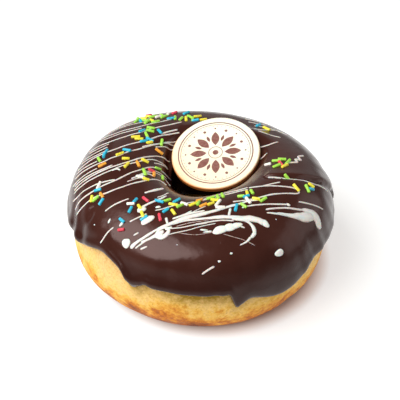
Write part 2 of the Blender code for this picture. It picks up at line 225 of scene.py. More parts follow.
def add(tree, kind, sockets=(), stops=(), **settings):
    """Add a node with its sockets, its own settings and its colour stops, from 0 to 1."""
    made = tree.nodes.new("ShaderNode" + kind)
    for name, value in settings.items():
        setattr(made, name, value)
    fill(tree, made, dict(sockets))
    for position, _ in stops[1:-1]:
        made.color_ramp.elements.new(position)
    if stops:
        for element, (_, code) in zip(made.color_ramp.elements, stops):
            element.color = linear(code)
    return made


def new_material(name):
    """A material, its node tree, its Principled shader and the place of its points on the piece."""
    material = bpy.data.materials.new(name)
    material.use_nodes = True
    tree = material.node_tree
    return material, tree, tree.nodes["Principled BSDF"], add(tree, "TexCoord").outputs["Object"]


def dough_place(azimuth, share):
    """The skin, with low lumps that wander round the section."""
    lumps = swell(azimuth, DOUGH_LUMPS) * np.cos(LUMPS_ROUND * share + LUMPS_WANDER * np.sin(azimuth))
    return ring_point(azimuth, share, lumps)


def dough_bmesh():
    """The ring, with the places under the coat's edge marked where it is moist and painted shaded."""
    bm = ring_bmesh(DOUGH_STEPS, dough_place)
    moist_shade = bm.verts.layers.float.new("moist_shade")
    for vertex in bm.verts:
        azimuth = math.atan2(vertex.co.y, vertex.co.x)
        below = COAT_EDGE_LEVEL + bumps(azimuth, COAT_EDGE_RUNS) - vertex.co.z
        vertex[moist_shade] = float(bumps(azimuth, MOIST_SHADE_PLACES)) * math.exp(-(max(below, 0.0) / MOIST_SHADE_REACH) ** 2)
    return bm


# Fried yeast dough: a thin dry skin, pale where it rose clear of the fat, deepening through gold to
# brown at the foot, where it is also painted darker as shade, blotchy, with small blisters, and ochre
# just under the coat's edge, partly where the warm coat made it moist and partly painted shade under its lip.
fried_dough, tree, skin, place = new_material("fried_dough")
height = add(tree, "SeparateXYZ", {0: place}).outputs["Z"]
slow = add(tree, "TexNoise", {"Vector": place, "Scale": 1 / (8 * MM), "Detail": 3.0})
uneven = add(tree, "MapRange", {0: slow, 1: 0.34, 2: 0.66, 3: -4.0 * MM, 4: 4.0 * MM})
blotch = add(tree, "TexNoise", {"Vector": place, "Scale": 1 / (2.4 * MM), "Detail": 6.0, "Roughness": 0.7})
spotty = add(tree, "MapRange", {0: blotch, 1: 0.34, 2: 0.66, 3: -4.0 * MM, 4: 4.0 * MM})
level = add(tree, "Math", {0: height, 1: uneven}, operation="ADD")
level = add(tree, "Math", {0: level, 1: spotty}, operation="ADD")
level = add(tree, "MapRange", {0: level, 1: 0.0, 2: 30.0 * MM})
# brown from frying, with the lowest stops painted darker still as shade at the foot
browning_and_shade = add(tree, "ValToRGB", {0: level}, stops=(
    (0, "#4b1905"), (0.12, "#702f08"), (0.24, "#a25310"), (0.35, "#c9741e"), (0.46, "#e2a03a"),
    (0.57, "#ebbb56"), (0.70, "#eec576"), (1, "#eac283")))
freckle = add(tree, "TexNoise", {"Vector": place, "Scale": 1 / (0.8 * MM), "Detail": 3.0, "Roughness": 0.7})
freckled = add(tree, "MapRange", {0: freckle, 1: 0.48, 2: 0.7, 3: 0.0, 4: 0.5})
colour = add(tree, "Mix", {0: freckled, 6: browning_and_shade, 7: linear("#b06a1e")}, data_type="RGBA")
wet_and_shade = add(tree, "Attribute", attribute_name="moist_shade").outputs["Fac"]
patch = add(tree, "MapRange", {0: blotch, 1: 0.36, 2: 0.6, 3: 1.9, 4: 0.8})
wet_and_shade = add(tree, "Math", {0: wet_and_shade, 1: patch}, operation="MULTIPLY", use_clamp=True)
# ochre under the coat's edge: partly moist dough, partly painted shade under the coat's lip
colour = add(tree, "Mix", {0: wet_and_shade, 6: colour, 7: linear("#977411")}, data_type="RGBA")
blister = add(tree, "TexNoise", {"Vector": place, "Scale": 1 / (1.5 * MM), "Detail": 5.0, "Roughness": 0.6})
relief = add(tree, "Bump", {"Height": blotch, "Strength": 0.5, "Distance": 0.9 * MM})
relief = add(tree, "Bump", {"Height": blister, "Strength": 0.5, "Distance": 0.45 * MM, "Normal": relief})
rough = add(tree, "MapRange", {0: blotch, 1: 0.3, 2: 0.7, 3: 0.42, 4: 0.7})
fill(tree, skin, {
    "Base Color": colour, "Normal": relief, "Roughness": rough,
    "Specular IOR Level": 0.12, "Subsurface Weight": 0.06, "Subsurface Radius": (1.0, 0.55, 0.25),
    "Subsurface Scale": 1.2 * MM})

finish_piece("dough_ring", dough_bmesh(), fried_dough, ("dough",))


# Chocolate coat
# Melted dark chocolate the ring was dipped in top down: about 2 mm thick, thicker in a round lip where
# it ran and set, with runs down the side. The dough shows below it.

COAT_HOLE_LEVEL = 21.0 * MM   # height of its edge in the hole
COAT_HOLE_RUNS = ((20, 30, -3.5 * MM), (150, 26, 2.5 * MM), (255, 30, -3.0 * MM))
LEVEL_LIMIT = 0.95            # sine of the steepest turn that an edge may reach
COAT_STEPS = (150, 40)
COAT_EVEN = 0.3               # share of its faces spread evenly, the others crowd to the edges
COAT_INNER = -0.3 * MM        # inner face, inside the dough's skin
SECTION_SIZE = 22.0 * MM      # turns a small angle on the section into a length
LIP_RUN = 1.7 * MM            # from the edge to the full thickness
LIP_BEAD = (2.6 * MM, 1.8 * MM, 0.28 * MM)       # distance from the edge, half width, height
LIP_FULLER = (224, 26, 1.5)
SIDE_FADE = (1.0, 0.2)        # turns between which the ridges on the side come in
COAT_RIDGES = ((317.5, 1.9, 0.30 * MM), (323.5, 1.8, -0.22 * MM), (329.5, 2.2, 0.34 * MM),
               (338, 3.0, 0.2 * MM), (232, 4.0, 0.2 * MM))
LEFT_RIDGES = ((207, 2.8, 0.55 * MM), (213, 3.0, -0.4 * MM), (200.5, 2.6, -0.45 * MM))
FLOW_SLANT, RIDGE_SLANT, LEFT_SLANT = 0.05, 0.08, 0.26    # how far each leans from straight down
COAT_DENTS = (                # (x, y, reach, rise) in mm
    (-39.3, -21.4, 1.7, -0.8), (-40.6, -18.0, 2.0, 0.45), (-37.0, -23.4, 1.2, -0.25))
FOLD_PATH = ((17.0, -9.6), (23.5, -10.8), (28.1, -11.2), (32.7, -10.5), (35.8, -9.8), (38.9, -8.5),
             (42.0, -6.9), (45.1, -4.2), (46.9, -2.4), (48.7, 0.3), (49.6, 4.0))     # x and y in mm
FOLD_START = (19.5 * MM, 24.0 * MM)              # x between which it comes in
FOLD_RISE = (-0.3 * MM, 0.5 * MM)                # across the path
FOLD_STEP, FOLD_BACK = 0.85 * MM, 4.0 * MM       # its height, and how fast it sinks away behind
FOLD_GROOVE, FOLD_WIDTH = 0.8 * MM, 0.65 * MM
RELIEF_TO = 1.8               # turn past which there are no dents and no fold
SHOULDER, SHOULDER_TURN = (250, 30, 0.55 * MM), (0.66, 0.22)  # round the ring; turn and its spread
TROUGH, TROUGH_TURN = (252, 36, -0.4 * MM), (0.34, 0.14)
COAT_FLOWS = ((11, 0.07 * MM, 15), (19, 0.08 * MM, 4), (31, 0.06 * MM, 7), (43, 0.04 * MM, 2))


def turn_at_level(level):
    """The outer turn at which the section passes a height."""
    above = (level - WAIST_HEIGHT) / np.where(level > WAIST_HEIGHT, TOP_RISE, BOTTOM_DROP)
    power = np.where(level > WAIST_HEIGHT, ROUND_TOP, ROUND_BOTTOM)
    return np.arcsin(np.clip(signed_power(above, power / 2.0), -LEVEL_LIMIT, LEVEL_LIMIT))


def fold_relief(x, y):
    """A step along a path in plan, where the coat ran twice: higher behind, with a groove at its foot."""
    knots = np.array(FOLD_PATH) * MM
    best, across = np.full(x.shape, 1.0), np.zeros(x.shape)
    for start, end in zip(knots[:-1], knots[1:]):
        length = np.hypot(*(end - start))
        along = (end - start) / length
        run = np.clip((x - start[0]) * along[0] + (y - start[1]) * along[1], 0.0, length)
        off_x, off_y = x - start[0] - run * along[0], y - start[1] - run * along[1]
        away = np.hypot(off_x, off_y)
        side = along[0] * off_y - along[1] * off_x
        across = np.where(away < best, np.where(side > 0.0, away, -away), across)
        best = np.minimum(best, away)
    behind = np.maximum(across, 0.0)
    step = FOLD_STEP * smooth_step(*FOLD_RISE, across) * np.exp(-(behind / FOLD_BACK) ** 2)
    return smooth_step(*FOLD_START, x) * (step - FOLD_GROOVE * np.exp(-(across / FOLD_WIDTH) ** 2))


def coat_place(azimuth, share):
    """First half turn: the outer face, from the lower lip over the crest into the hole. Second half:
    back inside the dough's skin."""
    start = turn_at_level(COAT_EDGE_LEVEL + bumps(azimuth, COAT_EDGE_RUNS))
    hole = math.pi - turn_at_level(COAT_HOLE_LEVEL + bumps(azimuth, COAT_HOLE_RUNS))
    half = np.where(share < math.pi, share, 2.0 * math.pi - share)
    along = COAT_EVEN * half / math.pi + (1.0 - COAT_EVEN) * (1.0 - np.cos(half)) / 2.0
    turn = start + (hole - start) * along
    from_edge = np.minimum(turn - start, hole - turn) * SECTION_SIZE
    close = np.clip(from_edge / LIP_RUN, 0.0, 1.0)
    rounded = np.sqrt(1.0 - (1.0 - close) ** 2)
    centre, width, size = LIP_BEAD
    bead = size * np.exp(-((from_edge - centre) / width) ** 2) * (turn < math.pi / 2.0)
    bead = bead * (1.0 + bumps(azimuth, (LIP_FULLER,)))
    flows = smooth_step(*SIDE_FADE, turn) * (
        swell(azimuth + FLOW_SLANT * turn, COAT_FLOWS) + bumps(azimuth + RIDGE_SLANT * turn, COAT_RIDGES)
        + bumps(azimuth + LEFT_SLANT * turn, LEFT_RIDGES))
    full = sum(bumps(azimuth, (where,)) * np.exp(-((turn - at) / spread) ** 2)
               for where, (at, spread) in ((SHOULDER, SHOULDER_TURN), (TROUGH, TROUGH_TURN)))
    outer = COAT_INNER + (COAT_TOP - COAT_INNER + bead + flows + full) * rounded
    plain = ring_point(azimuth, turn, outer)
    x, y = plain[:, 0], plain[:, 1]
    dents = sum(rise * MM * np.exp(-((x - at_x * MM) ** 2 + (y - at_y * MM) ** 2) / (reach * MM) ** 2)
                for at_x, at_y, reach, rise in COAT_DENTS)
    outer = outer + rounded * (turn < RELIEF_TO) * (fold_relief(x, y) + dents)
    return ring_point(azimuth, turn, np.where(share < math.pi, outer, COAT_INNER))


# Dark chocolate, melted and left to set: near black-brown, darker low down where it gathered thicker
# and also painted darker there as shade, satin with a soft gloss, faint clouding from the fat and
# pinprick craters where air came out.
dark_chocolate, tree, gloss, place = new_material("dark_chocolate")
cloud = add(tree, "TexNoise", {"Vector": place, "Scale": 1 / (9 * MM), "Detail": 3.0})
cloudy = add(tree, "MapRange", {0: cloud, 1: 0.3, 2: 0.7})
colour = add(tree, "Mix", {0: cloudy, 6: linear("#3a1c15"), 7: linear("#42231c")}, data_type="RGBA")
height = add(tree, "SeparateXYZ", {0: place}).outputs["Z"]
# darker towards the bottom: thicker chocolate, and painted shade against the bright floor's reflection
thicker_and_shaded = add(tree, "MapRange", {0: height, 1: 41 * MM, 2: 27 * MM})
colour = add(tree, "Mix", {0: thicker_and_shaded, 6: colour, 7: linear("#29120d")}, data_type="RGBA")
crater = add(tree, "TexVoronoi", {"Vector": place, "Scale": 1 / (2.6 * MM), "Randomness": 1.0})
pit = add(tree, "MapRange", {0: crater.outputs["Distance"], 1: 0.0, 2: 0.09})
wave = add(tree, "TexNoise", {"Vector": place, "Scale": 1 / (5 * MM), "Detail": 2.0})
relief = add(tree, "Bump", {"Height": wave, "Strength": 0.35, "Distance": 0.4 * MM})
relief = add(tree, "Bump", {"Height": pit, "Strength": 0.5, "Distance": 0.1 * MM, "Normal": relief})
rough = add(tree, "MapRange", {0: cloud, 1: 0.3, 2: 0.7, 3: 0.16, 4: 0.24})
fill(tree, gloss, {"Base Color": colour, "Normal": relief, "Roughness": rough,
                   "IOR": 1.36, "Specular Tint": linear("#ffe6e2")})

coat_bmesh = ring_bmesh(COAT_STEPS, coat_place)
coat_surface = BVHTree.FromBMesh(coat_bmesh)
finish_piece("chocolate_glaze", coat_bmesh, dark_chocolate, ("chocolate_coat",))


# Sugar sprinkles
# Short rods of dyed pressed sugar, about 1.2 mm thick and 2.5 to 3.6 mm long, scattered by hand over
# the back left and the front of the ring while the chocolate was still wet, and held by it.

SPRINKLE_RADIUS = 0.58 * MM
SPRINKLE_LENGTH = (2.5 * MM, 3.6 * MM)
SPRINKLE_SINK = 0.34          # share of the radius below the coat
SPRINKLE_SIDES, SPRINKLE_ROUND = 9, 0.2 * MM
SPRINKLE_TILT = 0.12          # largest tilt, in radians
SPRINKLE_APART = 1.7 * MM     # least distance between two middles
SPRINKLE_FROM_HOLE, SPRINKLE_FROM_RIM, SPRINKLE_FROM_DISC = 3.0 * MM, 4.0 * MM, 2.6 * MM
SPRINKLE_PATCHES = (          # (x, y, half size along x and along y in mm, how many)
    (-13, 32, 15, 6, 26), (-17.5, 16, 7, 7, 12), (-30, 3, 8, 7, 8), (-19.5, -4, 6, 6, 9),
    (-35, -15, 5, 4, 6), (-15, -24.5, 10, 6, 16), (10, -23, 13, 4.5, 20), (28, -2, 4, 4, 7),
    (35.5, -13, 6, 4, 5), (-27, -31, 2, 4, 2), (24, 26, 4, 4, 2))
SPRINKLE_SEED, DYE_SEED = 12, 7
SPRINKLE_DYES = (             # name, colour and share
    ("lime", "#a5e04e", 31), ("yellow", "#f6e544", 25), ("turquoise", "#2fb9d6", 21),
    ("orange", "#f8a93a", 10), ("white", "#f8f3e6", 12), ("red", "#e8485a", 7))


def clear_of_disc(x, y, margin):
    return math.hypot(x - DISC_CENTRE[0], (y - DISC_CENTRE[1]) * DISC_SHORTER) > DISC_RADIUS + margin


def sprinkle_places():
    """Seeded scatter over the patches, clear of the disc and of the hole: (x, y, heading, length)."""
    draw = random.Random(SPRINKLE_SEED)
    places = []
    least, most = HOLE_RADIUS + SPRINKLE_FROM_HOLE, CREST_RADIUS + OUTER_HALF - SPRINKLE_FROM_RIM
    for x, y, half_x, half_y, count in SPRINKLE_PATCHES:
        placed = 0
        while placed < count:
            share, around = math.sqrt(draw.random()), draw.uniform(0.0, 2.0 * math.pi)
            east, north = half_x * share * math.cos(around), half_y * share * math.sin(around)
            at = ((x + east) * MM, (y + north) * MM)
            heading, length = draw.uniform(0.0, math.pi), draw.uniform(*SPRINKLE_LENGTH)
            radius = math.hypot(*at)
            inside = least < radius < most
            apart = all(math.hypot(at[0] - other[0], at[1] - other[1]) > SPRINKLE_APART for other in places)
            if inside and apart and clear_of_disc(*at, SPRINKLE_FROM_DISC):
                places.append((*at, heading, length))
                placed += 1
    return places


def drop(x, y):
    """Where a straight fall from above meets the coat, and the coat's normal there."""
    hit, normal, _, _ = coat_surface.ray_cast(Vector((x, y, 1.0)), Vector((0.0, 0.0, -1.0)))
    return hit, normal


def surface_matrix(x, y, off, heading):
    """Frame on the coat: Z along the coat's normal, X turned in plan by heading."""
    hit, normal = drop(x, y)
    forward = Vector((math.cos(heading), math.sin(heading), 0.0))
    forward = (forward - normal * forward.dot(normal)).normalized()
    turned = Matrix((forward, normal.cross(forward), normal)).transposed().to_4x4()
    return Matrix.Translation(hit + normal * off) @ turned


def add_sprinkle(bm, x, y, heading, length, tilt):
    """A rod with softened ends, lying in the coat."""
    rod = bmesh.new()
    bmesh.ops.create_cone(rod, cap_ends=True, segments=SPRINKLE_SIDES, radius1=SPRINKLE_RADIUS,
                          radius2=SPRINKLE_RADIUS, depth=length)
    ends = [edge for edge in rod.edges if abs(edge.verts[0].co.z - edge.verts[1].co.z) < 1.0e-6]
    bmesh.ops.bevel(rod, geom=ends, offset=SPRINKLE_ROUND, segments=2, profile=0.5, affect="EDGES",
                    material=-1)
    lie = surface_matrix(x, y, (1.0 - 2.0 * SPRINKLE_SINK) * SPRINKLE_RADIUS, heading)
    lie = lie @ Matrix.Rotation(math.pi / 2.0 + tilt, 4, "Y")
    bmesh.ops.transform(rod, matrix=lie, verts=rod.verts)
    shaped = bpy.data.meshes.new("rod")
    rod.to_mesh(shaped)
    rod.free()
    bm.from_mesh(shaped)
    bpy.data.meshes.remove(shaped)


# Pressed sugar under a thin shellac: an even strong dye, a shade blotchy, with a soft shine.
places = sprinkle_places()
draw = random.Random(DYE_SEED)
weights = [share for _, _, share in SPRINKLE_DYES]
chosen = draw.choices(range(len(SPRINKLE_DYES)), weights=weights, k=len(places))
for dye, (dye_name, code, _) in enumerate(SPRINKLE_DYES):
    sugar, tree, shell, place = new_material("dyed_sugar_" + dye_name)
    grain = add(tree, "TexNoise", {"Vector": place, "Scale": 1 / (0.7 * MM), "Detail": 2.0})
    shade = add(tree, "MapRange", {0: grain, 1: 0.3, 2: 0.7, 3: 0.82, 4: 1.12})
    colour = add(tree, "HueSaturation", {"Color": linear(code), "Value": shade})
    fill(tree, shell, {"Base Color": colour, "Roughness": 0.38, "Subsurface Weight": 0.1,
                       "Subsurface Scale": 0.4 * MM})
    bm = bmesh.new()
    for (x, y, heading, length), which in zip(places, chosen):
        if which == dye:
            add_sprinkle(bm, x, y, heading, length, draw.uniform(-SPRINKLE_TILT, SPRINKLE_TILT))
    sprinkles = finish_piece("sprinkles_" + dye_name, bm, sugar)
    sprinkles.data.set_sharp_from_angle(angle=math.radians(35.0))


# Drizzle
# White chocolate flicked from a spoon in quick parallel strokes: hair-thin lines over the left, thick
# ropes and pools where it ran at the front and right. It set on the dark coat as low rounded ridges.

THIN_LINES = (                # (half width, points in plan), all in mm
    (0.30, ((-39.1, 21.2), (-33.8, 20.3), (-29.8, 21.3), (-24.7, 22.7), (-22.1, 24.1), (-19.1, 25.8),
        (-15.6, 27.6), (-11, 30.5))),
    (0.34, ((-42.2, 14.1), (-37.5, 13.6), (-33.5, 13.9), (-29.4, 15.3), (-25.5, 17.2), (-22.6, 18.6),
        (-19.0, 21.5), (-14, 24.6), (-7, 28.6))),
    (0.34, ((-46.1, 6.0), (-43.5, 5.3), (-40.3, 5.5), (-36.2, 6.1), (-31.7, 7.3), (-27.7, 9.3),
        (-22.9, 11.7), (-19.0, 14.6), (-15.4, 17.7), (-11.5, 19.9), (-7.8, 21.9))),
    (0.34, ((-46.8, 1.6), (-43.9, 1.2), (-39.9, 0.7), (-35.5, 0.9), (-32.7, 2.0), (-30.0, 2.9),
        (-26.9, 5.0), (-22.6, 7.4), (-18.8, 10.7), (-15.3, 13.6), (-11.8, 16.2), (-9.0, 18.4))),
    (0.34, ((-46.6, -4.2), (-42.4, -4.8), (-38.5, -4.7), (-34.7, -4.0), (-30.5, -2.8), (-27.3, -1.4),
        (-24.8, 0.0), (-21.8, 2.3), (-18.7, 4.7), (-15.4, 7.4), (-11.3, 9.8))),
    (0.30, ((-46.6, -5.7), (-42.9, -6.3), (-37.8, -6.3), (-32.8, -5.3), (-29.8, -3.9), (-26.5, -2.3),
        (-23.4, -0.8), (-20.9, 1.1), (-17.8, 3.6), (-15.0, 5.0), (-12.2, 6.1))),
    (0.30, ((-46.9, -8.4), (-44.6, -9.3), (-41.4, -9.9), (-37.6, -10.1), (-34.2, -10.3), (-30.5, -10.4))),
    (0.34, ((-45.8, -12.4), (-42.1, -12.7), (-38.0, -12.5), (-34.2, -11.8), (-30.5, -10.8), (-28.2, -9.4),
        (-25.3, -7.2), (-22.3, -5.2), (-19.3, -2.4), (-16.9, -0.4), (-15.1, 0.4), (-12.8, 1.1),
        (-10.8, 2.5))),
    (0.30, ((-24.9, -10.3), (-21.9, -8.2), (-19.0, -5.4), (-17.1, -3.9), (-14.9, -3.3), (-12.7, -3.6),
        (-10.9, -6.0))),
    (0.34, ((-45.0, -16.2), (-42.0, -16.0), (-38.9, -15.6), (-36.3, -15.8), (-33.1, -15.8),
        (-30.4, -15.2), (-27.9, -14.5), (-24.7, -13.1), (-21.6, -11.7), (-18.9, -10.0), (-16.4, -8.2),
        (-14.2, -7.6), (-12.1, -8.8))),
    (0.30, ((-47.6, -0.8), (-44.5, -1.6), (-41.0, -1.9), (-37.5, -1.8))),
    (0.26, ((-44.6, 10.2), (-41.5, 9.2), (-38.0, 9.3), (-34.4, 10.1))),
    (0.28, ((-35.8, 27.2), (-31.6, 27.0), (-27.2, 28.2), (-22.4, 30.6), (-18.0, 33.0))),
    (0.28, ((-33.0, 31.8), (-28.6, 32.0), (-24.4, 33.4), (-20.4, 35.8))),
    (0.26, ((-26.0, 37.6), (-22.6, 38.0), (-18.4, 39.6))),
    (0.30, ((-33.8, -23.2), (-31.1, -22.2), (-28.2, -21.3), (-25.1, -20.4))),
    (0.30, ((-15.9, -26.9), (-13.0, -26.1), (-10.0, -24.7), (-5.8, -23.3), (-2.1, -22.1))),
    (0.30, ((-24.8, -30.1), (-23.1, -29.6), (-21.0, -28.9), (-18.5, -28.0))),
    (0.28, ((-35.4, -31.8), (-32.8, -30.8), (-30.1, -30.1))),
    (0.30, ((-23.3, -35.2), (-21.2, -34.6))),
    (0.28, ((-15.3, -19.9), (-13.2, -18.5), (-11.3, -15.6))),
    (0.32, ((22.0, 11.4), (25.6, 12.0), (29.4, 14.0))),
    (0.32, ((21.8, 6.0), (25.0, 6.9))),
    (0.34, ((20.4, 23.6), (25.2, 24.3), (28.7, 25.4))),
    (0.32, ((21.8, 19.9), (26.7, 19.1), (30.5, 18.3))),
    (0.28, ((18.4, 31.2), (22.0, 30.4), (25.6, 29.9))),
    (0.5, ((30.9, -2.2), (33.3, -1.2), (35.5, 0.0), (34.6, 1.6), (37.0, 2.0), (35.8, 3.8), (38.4, 6.4))),
    (0.34, ((24.0, -10.7), (29.3, -11.2), (33.3, -11.2), (35.9, -10.3), (40.3, -9.7), (42.8, -8.3),
        (45.3, -6.8), (46.9, -5.8))),
    (0.30, ((21.8, -16.4), (25.0, -15.3), (28.5, -13.9))),
    (0.32, ((17.0, -16.5), (21.8, -16.4), (29.7, -16.1), (33.0, -15.8), (35.0, -16.4), (34.4, -17.9),
        (29.4, -19.5), (24.8, -20.8), (19.8, -22.8), (15.4, -23.8), (11.2, -24.1))),
    (0.34, ((-2.0, -22.6), (4.4, -18.4), (9.5, -16.9), (13.3, -16.8), (17.0, -16.1))),
    (0.34, ((0.6, -21.4), (5.6, -19.6), (12.5, -18.1), (17.0, -17.6))),
    (0.34, ((14.3, -27.4), (17.4, -26.5), (21.6, -25.7), (25.0, -25.1), (30.8, -23.9))),
    (0.30, ((34.5, -21.3), (38.2, -19.9), (41.1, -18.6), (44.1, -16.9))),
    (0.40, ((22.6, -27.7), (27.7, -26.1), (31.3, -25.1), (34.9, -24.0), (37.8, -22.8))),
    (0.36, ((-20.8, -40.0), (-18.1, -39.7))),
    (0.20, ((-11.3, -37.1), (-8.1, -36.7), (-3.8, -36.1), (0.6, -34.9), (5.4, -34.0))),
    (0.26, ((-11.0, -35.0), (-6.8, -35.0), (-2.4, -34.3), (2.4, -33.7))),
    (0.26, ((-7.0, -30.3), (-2.9, -27.5))),
    (0.22, ((-2.7, -28.2), (2.0, -25.3))),
    (0.34, ((0.4, -48.3), (1.7, -47.9), (4.9, -46.8))),
    (0.30, ((13.0, -34.7), (15.4, -35.5))),
    (0.30, ((-1.8, -34.0), (2.6, -33.4), (7.3, -32.8), (11.7, -33.1))),
    (0.30, ((-22.6, -39.2), (-18.5, -37.9), (-15.4, -37.1), (-12.5, -36.2))),
    (0.26, ((-35.7, 24.1), (-31.9, 25.3), (-27.8, 26.3), (-23.7, 27.3), (-19.8, 28.4))),
    (0.30, ((-38.4, 18.3), (-34.6, 17.9), (-30.4, 19.0), (-26.4, 20.2), (-22.1, 22.0))),
    (0.28, ((-42.0, 12.1), (-39.5, 11.6), (-36.5, 11.7), (-34.0, 12.4))),
    (0.26, ((-44.9, 8.4), (-41.4, 7.3), (-37.9, 7.0), (-34.5, 7.9))),
    (0.32, ((-21.7, 9.0), (-17.9, 11.8), (-14.0, 14.5), (-9.8, 16.7))),
    (0.26, ((-16.9, 11.0), (-13.9, 13.0), (-9.8, 15.2))),
    (0.40, ((-15.1, 18.9), (-12.5, 20.9), (-8.6, 23.4))),
    (0.30, ((-46.4, 4.0), (-43.5, 3.2), (-40.5, 2.6), (-37.8, 2.6))),
    (0.28, ((-17.1, 2.1), (-14.3, 4.4), (-11.8, 6.1))),
    (0.34, ((-46.6, -2.6), (-42.9, -3.4), (-39.1, -3.6), (-35.0, -3.3), (-31.8, -2.2))),
    (0.28, ((-23.5, -8.9), (-21.1, -6.9), (-18.7, -4.3), (-16.4, -2.3), (-14.2, -1.6), (-12.2, -1.4))),
    (0.26, ((-26.3, -12.0), (-23.5, -10.4), (-20.6, -8.9))),
    (0.30, ((-30.2, 34.6), (-25.6, 35.2), (-20.8, 36.9), (-16.4, 38.6))),
    (0.28, ((17.2, 34.8), (21.4, 33.6), (26.0, 33.0))),
    (0.28, ((20.6, 27.6), (25.0, 27.0), (29.8, 25.4), (33.4, 23.0))))
THICK_LINES = (               # the same, with several half widths from one end to the other
    ((0.8, 0.45, 0.5, 0.5), ((-24.2, -38.6), (-22.4, -37.8), (-17.5, -35.9), (-13.7, -34.2))),
    ((0.5, 0.85, 1.1, 0.85, 0.5), ((-15, -34.6), (-10.5, -33.2), (-7, -31.8), (-0.8, -29.8), (3.7, -28.6),
        (9, -27))),
    ((0.4, 0.6, 0.3), ((-9.8, -31.2), (-4.4, -29.2), (1.6, -27.7))),
    ((0.6, 0.65, 0.4, 0.3), ((5, -28.2), (10, -26.6), (13.7, -25.4), (17.4, -24.0), (22.5, -23.6))),
    ((0.4, 0.55, 0.8), ((-20.6, -38.0), (-17.2, -37.4), (-12.4, -35.6))),
    ((0.35, 0.55, 0.75, 0.75), ((-11.0, -33.6), (-5.0, -32.2), (1.0, -31.8), (6.0, -31.4), (11.0, -31.5),
        (15.0, -31.8))),
    ((0.7, 1.1, 1.35, 1.2), ((10.5, -31.9), (14.0, -32.2), (18.0, -32.0), (22.6, -32.9))),
    ((0.75, 0.45, 0.75, 0.6), ((14.0, -32.4), (16.5, -33.2), (18.4, -35.3), (18.4, -37.0), (17.1, -38.4))),
    ((0.5, 0.25), ((17.3, -38.0), (16.0, -39.6), (13.4, -41.0))),
    ((0.3, 0.55), ((22.9, -28.9), (27.5, -28.4), (31.0, -27.8))),
    ((0.4, 0.7, 1.3, 1.8, 1.4), ((26.3, -28.5), (31.2, -27.6), (34.4, -26.6), (37.0, -25.3), (40.2, -23.4))),
    ((0.5, 1.0, 1.7, 2.0, 1.7), ((35.6, -23.8), (38.4, -22.6), (40.8, -22.4), (42.1, -23.4), (42.4, -24.6))),
    ((0.8, 0.5, 0.6, 0.3), ((-22.1, -26.3), (-20.2, -24.9), (-17.6, -22.9), (-14.4, -20.9), (-11.9, -18.2))),
    ((0.45, 0.7, 0.5), ((-19.9, -17.8), (-16.5, -15.8), (-13.0, -12.9))),
    ((0.6, 0.3), ((-11.9, -30.2), (-11.3, -33.4))),
    ((0.45, 0.4), ((10.4, -27.3), (9.8, -31.2))),
    ((0.3, 0.45), ((-21.0, -7.2), (-18.6, -6.0), (-16.4, -6.4))),
    ((0.3, 0.4), ((-19.8, -4.2), (-20.4, -6.8), (-21.6, -8.6))),
    ((0.3, 0.45), ((-32.2, -5.4), (-30.2, -4.6), (-29.0, -5.8))),
    ((0.75, 0.5, 0.5, 0.6, 0.8, 0.8, 0.7), ((-15.4, -36.9), (-14.4, -35.2), (-12.2, -34.4),
        (-10.8, -35.2), (-11.6, -36.9), (-13.6, -37.8), (-15.4, -36.9))))
HAIR_LINES = (
    (0.12, ((-8.1, -36.7), (-4.0, -37.7), (-0.7, -38.0), (5.2, -37.2))),
    (0.11, ((7.7, -37.9), (11.1, -38.7), (14.7, -39.3), (18.8, -40.3))),
    (0.14, ((-8.4, -34.4), (-3.0, -33.2), (3.0, -32.6))))
POOLS = (                     # (x, y, half length, half width in mm, turn in degrees)
    (6.9, -36.5, 3.0, 1.5, 12), (9.9, -35.6, 2.4, 1.4, 25), (12.4, -34.8, 1.9, 1.2, 25),
    (-25.7, -36.7, 1.9, 1.5, 65), (-18.4, -30.6, 2.6, 1.5, 38), (-14.0, -37.3, 1.4, 0.8, 10),
    (27.2, -39.5, 1.7, 1.3, 5), (22.4, -33.0, 1.6, 1.15, -35), (-20.6, -26.0, 1.7, 1.2, 35),
    (35.2, -26.5, 2.0, 0.9, 12), (-27.6, -30.1, 0.9, 0.6, 40), (-32.0, -27.3, 0.85, 0.45, 55),
    (6.4, -45.7, 0.5, 0.42, 0), (10.5, -43.5, 0.42, 0.38, 0), (26.2, -30.6, 0.22, 0.2, 0),
    (-11.0, -34.9, 1.2, 0.6, 20), (30.8, -23.9, 0.75, 0.55, 0), (-14.8, -25.2, 0.9, 0.6, 20),
    (-8.0, -40.8, 0.2, 0.18, 0), (-37.5, -25.5, 0.3, 0.26, 0), (18.3, -37.2, 0.95, 0.75, 60),
    (1.1, -36.4, 1.3, 0.35, -8), (2.5, -37.1, 1.6, 0.32, 10))
THIN_FLATNESS, THICK_FLATNESS = 0.5, 0.32        # height as a share of the half width
THIN_SHOW, HAIR_SHOW = 0.4, 2.0                  # how much of the dark coat shows through their middle
STRAND_STEP = 0.4 * MM
STRAND_SIDES = 8
STRAND_SINK = 0.3             # how far the underside dips into the coat, as a share of the half width
STRAND_END = 1.2              # length of its round ends, in half widths
STRAND_EVENED = 3             # rounds of smoothing over the ridges of the coat
STRAND_WAVES = ((0.12, 2.6 * MM), (0.09, 1.1 * MM), (0.04, 0.5 * MM))     # share of the width, length
POOL_FACES = (28, 14)         # round it and over it
POOL_HEIGHT = 0.5 * MM
POOL_WAVES = ((2.0, 0.10), (3.0, 0.07))          # times round the outline, share of the width
DYE_BLEED = 1.1 * MM          # how far the dye of a sprinkle ran
DRIZZLE_SEED = 21


